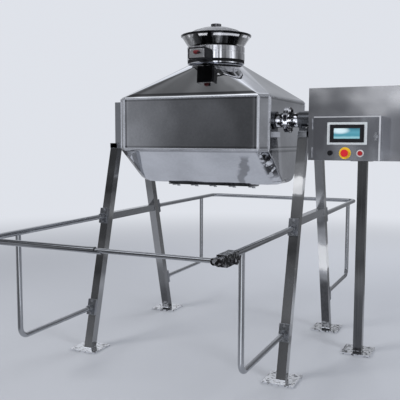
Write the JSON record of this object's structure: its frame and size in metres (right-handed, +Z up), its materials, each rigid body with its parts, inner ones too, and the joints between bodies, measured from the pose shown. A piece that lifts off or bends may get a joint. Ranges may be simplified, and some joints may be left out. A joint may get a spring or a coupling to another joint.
{
  "type": "octagonal blender",
  "caption": "Tilting octagonal powder blender: a polished tapered vessel turned between two leg frames, with drive housing, control box, charging valve, guard rails and gate.",
  "frame": {"origin": "on the floor under the centre of the vessel and its turning axis", "axes": "+X along the turning axis to the drive side, +Y to the rear, +Z up; the operator stands at -Y"},
  "size_m": [2.121, 3.2385, 2.283],
  "materials": {
    "idle_front_leg": "satin stainless steel",
    "idle_rear_leg": "satin stainless steel",
    "drive_front_leg": "satin stainless steel",
    "drive_rear_leg": "satin stainless steel",
    "cross_members": "satin stainless steel",
    "idle_front_hoop": "satin stainless steel",
    "idle_rear_hoop": "satin stainless steel",
    "drive_front_hoop": "satin stainless steel",
    "drive_rear_hoop": "satin stainless steel",
    "rail_clamps": "satin grey",
    "rail_clamp_bolts": "satin stainless steel",
    "front_fixed_bar": "satin stainless steel",
    "gate_block": "satin stainless steel",
    "gate_pin": "satin stainless steel",
    "gate_switch": "matt black",
    "rear_bar": "satin stainless steel",
    "drive_post": "satin stainless steel",
    "drive_bearing_housing": "satin stainless steel",
    "idle_bearing_housing": "satin stainless steel",
    "bearings": "ground steel",
    "bearing_bolts": "satin stainless steel",
    "idle_cover": "satin stainless steel",
    "drive_housing": "brushed dark grey",
    "housing_rear_cover": "brushed dark grey",
    "gear_motor": "painted grey blue",
    "control_box": "brushed grey",
    "control_plate": "painted light grey",
    "hinge_pins": "satin stainless steel",
    "vessel_shell": "mirror-polished stainless steel",
    "neck_gasket": "black rubber",
    "valve_ring_lower": "mirror-polished stainless steel",
    "valve_ring_upper": "mirror-polished stainless steel",
    "valve_seat": "white rubber",
    "actuator_body": "black",
    "actuator_cover": "light grey cover",
    "charge_cone": "mirror-polished stainless steel",
    "manhole_frame": "mirror-polished stainless steel",
    "manhole_gasket": "black rubber",
    "manhole_door": "mirror-polished stainless steel",
    "clamp_yokes": "mirror-polished stainless steel",
    "clamp_screws": "mirror-polished stainless steel",
    "drive_trunnion": "mirror-polished stainless steel",
    "idle_trunnion": "mirror-polished stainless steel",
    "trunnion_bolts": "mirror-polished stainless steel",
    "bull_gear": "machined steel",
    "valve_disc": "mirror-polished stainless steel",
    "valve_indicator": "red",
    "cone_lid": "mirror-polished stainless steel",
    "drive_pinion": "machined steel",
    "gate_boom": "satin stainless steel",
    "control_door": "brushed grey",
    "hmi_bezel": "silver",
    "hmi_housing": "matt black",
    "hmi_screen": "glossy teal display",
    "estop_legend": "yellow",
    "button_ring": "bright ring",
    "estop_button": "red",
    "selector_knob": "black",
    "push_button": "red, glossy",
    "door_latch": "plated"
  },
  "bodies": {
    "frame": {"idle_front_leg": "idle_front_leg", "idle_rear_leg": "idle_rear_leg", "drive_front_leg": "drive_front_leg", "drive_rear_leg": "drive_rear_leg", "cross_members": "cross_members", "idle_front_hoop": "idle_front_hoop", "idle_rear_hoop": "idle_rear_hoop", "drive_front_hoop": "drive_front_hoop", "drive_rear_hoop": "drive_rear_hoop", "rail_clamps": "rail_clamps", "rail_clamp_bolts": "rail_clamp_bolts", "front_fixed_bar": "front_fixed_bar", "gate_block": "gate_block", "gate_pin": "gate_pin", "gate_switch": "gate_switch", "rear_bar": "rear_bar", "drive_post": "drive_post", "drive_bearing_housing": "drive_bearing_housing", "idle_bearing_housing": "idle_bearing_housing", "bearings": "bearings", "bearing_bolts": "bearing_bolts", "idle_cover": "idle_cover", "drive_housing": "drive_housing", "housing_rear_cover": "housing_rear_cover", "gear_motor": "gear_motor", "control_box": "control_box", "control_plate": "control_plate", "hinge_pins": "hinge_pins"},
    "vessel": {"vessel_shell": "vessel_shell", "neck_gasket": "neck_gasket", "valve_ring_lower": "valve_ring_lower", "valve_ring_upper": "valve_ring_upper", "valve_seat": "valve_seat", "actuator_body": "actuator_body", "actuator_cover": "actuator_cover", "charge_cone": "charge_cone", "manhole_frame": "manhole_frame", "manhole_gasket": "manhole_gasket", "manhole_door": "manhole_door", "clamp_yokes": "clamp_yokes", "clamp_screws": "clamp_screws", "drive_trunnion": "drive_trunnion", "idle_trunnion": "idle_trunnion", "trunnion_bolts": "trunnion_bolts", "bull_gear": "bull_gear"},
    "valve": {"valve_disc": "valve_disc", "valve_indicator": "valve_indicator"},
    "lid": {"cone_lid": "cone_lid"},
    "pinion": {"drive_pinion": "drive_pinion"},
    "gate": {"gate_boom": "gate_boom"},
    "door": {"control_door": "control_door", "hmi_bezel": "hmi_bezel", "hmi_housing": "hmi_housing", "hmi_screen": "hmi_screen", "estop_legend": "estop_legend", "button_ring": "button_ring"},
    "emergency_stop": {"estop_button": "estop_button"},
    "selector": {"selector_knob": "selector_knob"},
    "button": {"push_button": "push_button"},
    "latch": {"door_latch": "door_latch"}
  },
  "joints": [
    {"name": "vessel_turn", "type": "hinge", "parent": "frame", "child": "vessel", "pos_m": [0, 0, 1.602], "axis": [1, 0, 0], "continuous": true},
    {"name": "pinion_turn", "type": "hinge", "parent": "frame", "child": "pinion", "pos_m": [0.818, 0.15, 1.602], "axis": [1, 0, 0], "continuous": true},
    {"name": "valve_turn", "type": "hinge", "parent": "vessel", "child": "valve", "pos_m": [0, 0, 2.048], "axis": [0, 1, 0], "range_deg": [0, 90]},
    {"name": "lid_lift", "type": "slide", "parent": "vessel", "child": "lid", "axis": [0, 0, 1], "range_m": [0, 0.15]},
    {"name": "gate_lift", "type": "hinge", "parent": "frame", "child": "gate", "pos_m": [0.69, -1.6, 0.918], "axis": [0, 1, 0], "range_deg": [0, 90]},
    {"name": "control_door", "type": "hinge", "parent": "frame", "child": "door", "pos_m": [0.822, -0.434, 1.4765], "axis": [0, 0, -1], "range_deg": [0, 110]},
    {"name": "estop_press", "type": "slide", "parent": "door", "child": "emergency_stop", "axis": [0, 1, 0], "range_m": [0, 0.006]},
    {"name": "selector_turn", "type": "hinge", "parent": "door", "child": "selector", "pos_m": [0.932, -0.44, 1.389], "axis": [0, 1, 0], "range_deg": [-45, 45]},
    {"name": "button_press", "type": "slide", "parent": "door", "child": "button", "axis": [0, 1, 0], "range_m": [0, 0.003], "stiffness_N_per_m": 400},
    {"name": "door_latch", "type": "hinge", "parent": "door", "child": "latch", "pos_m": [1.197, -0.44, 1.487], "axis": [0, 1, 0], "range_deg": [0, 90]}
  ],
  "couplings": [
    {"joint": "pinion_turn", "follows": "vessel_turn", "ratio": -4}
  ]
}
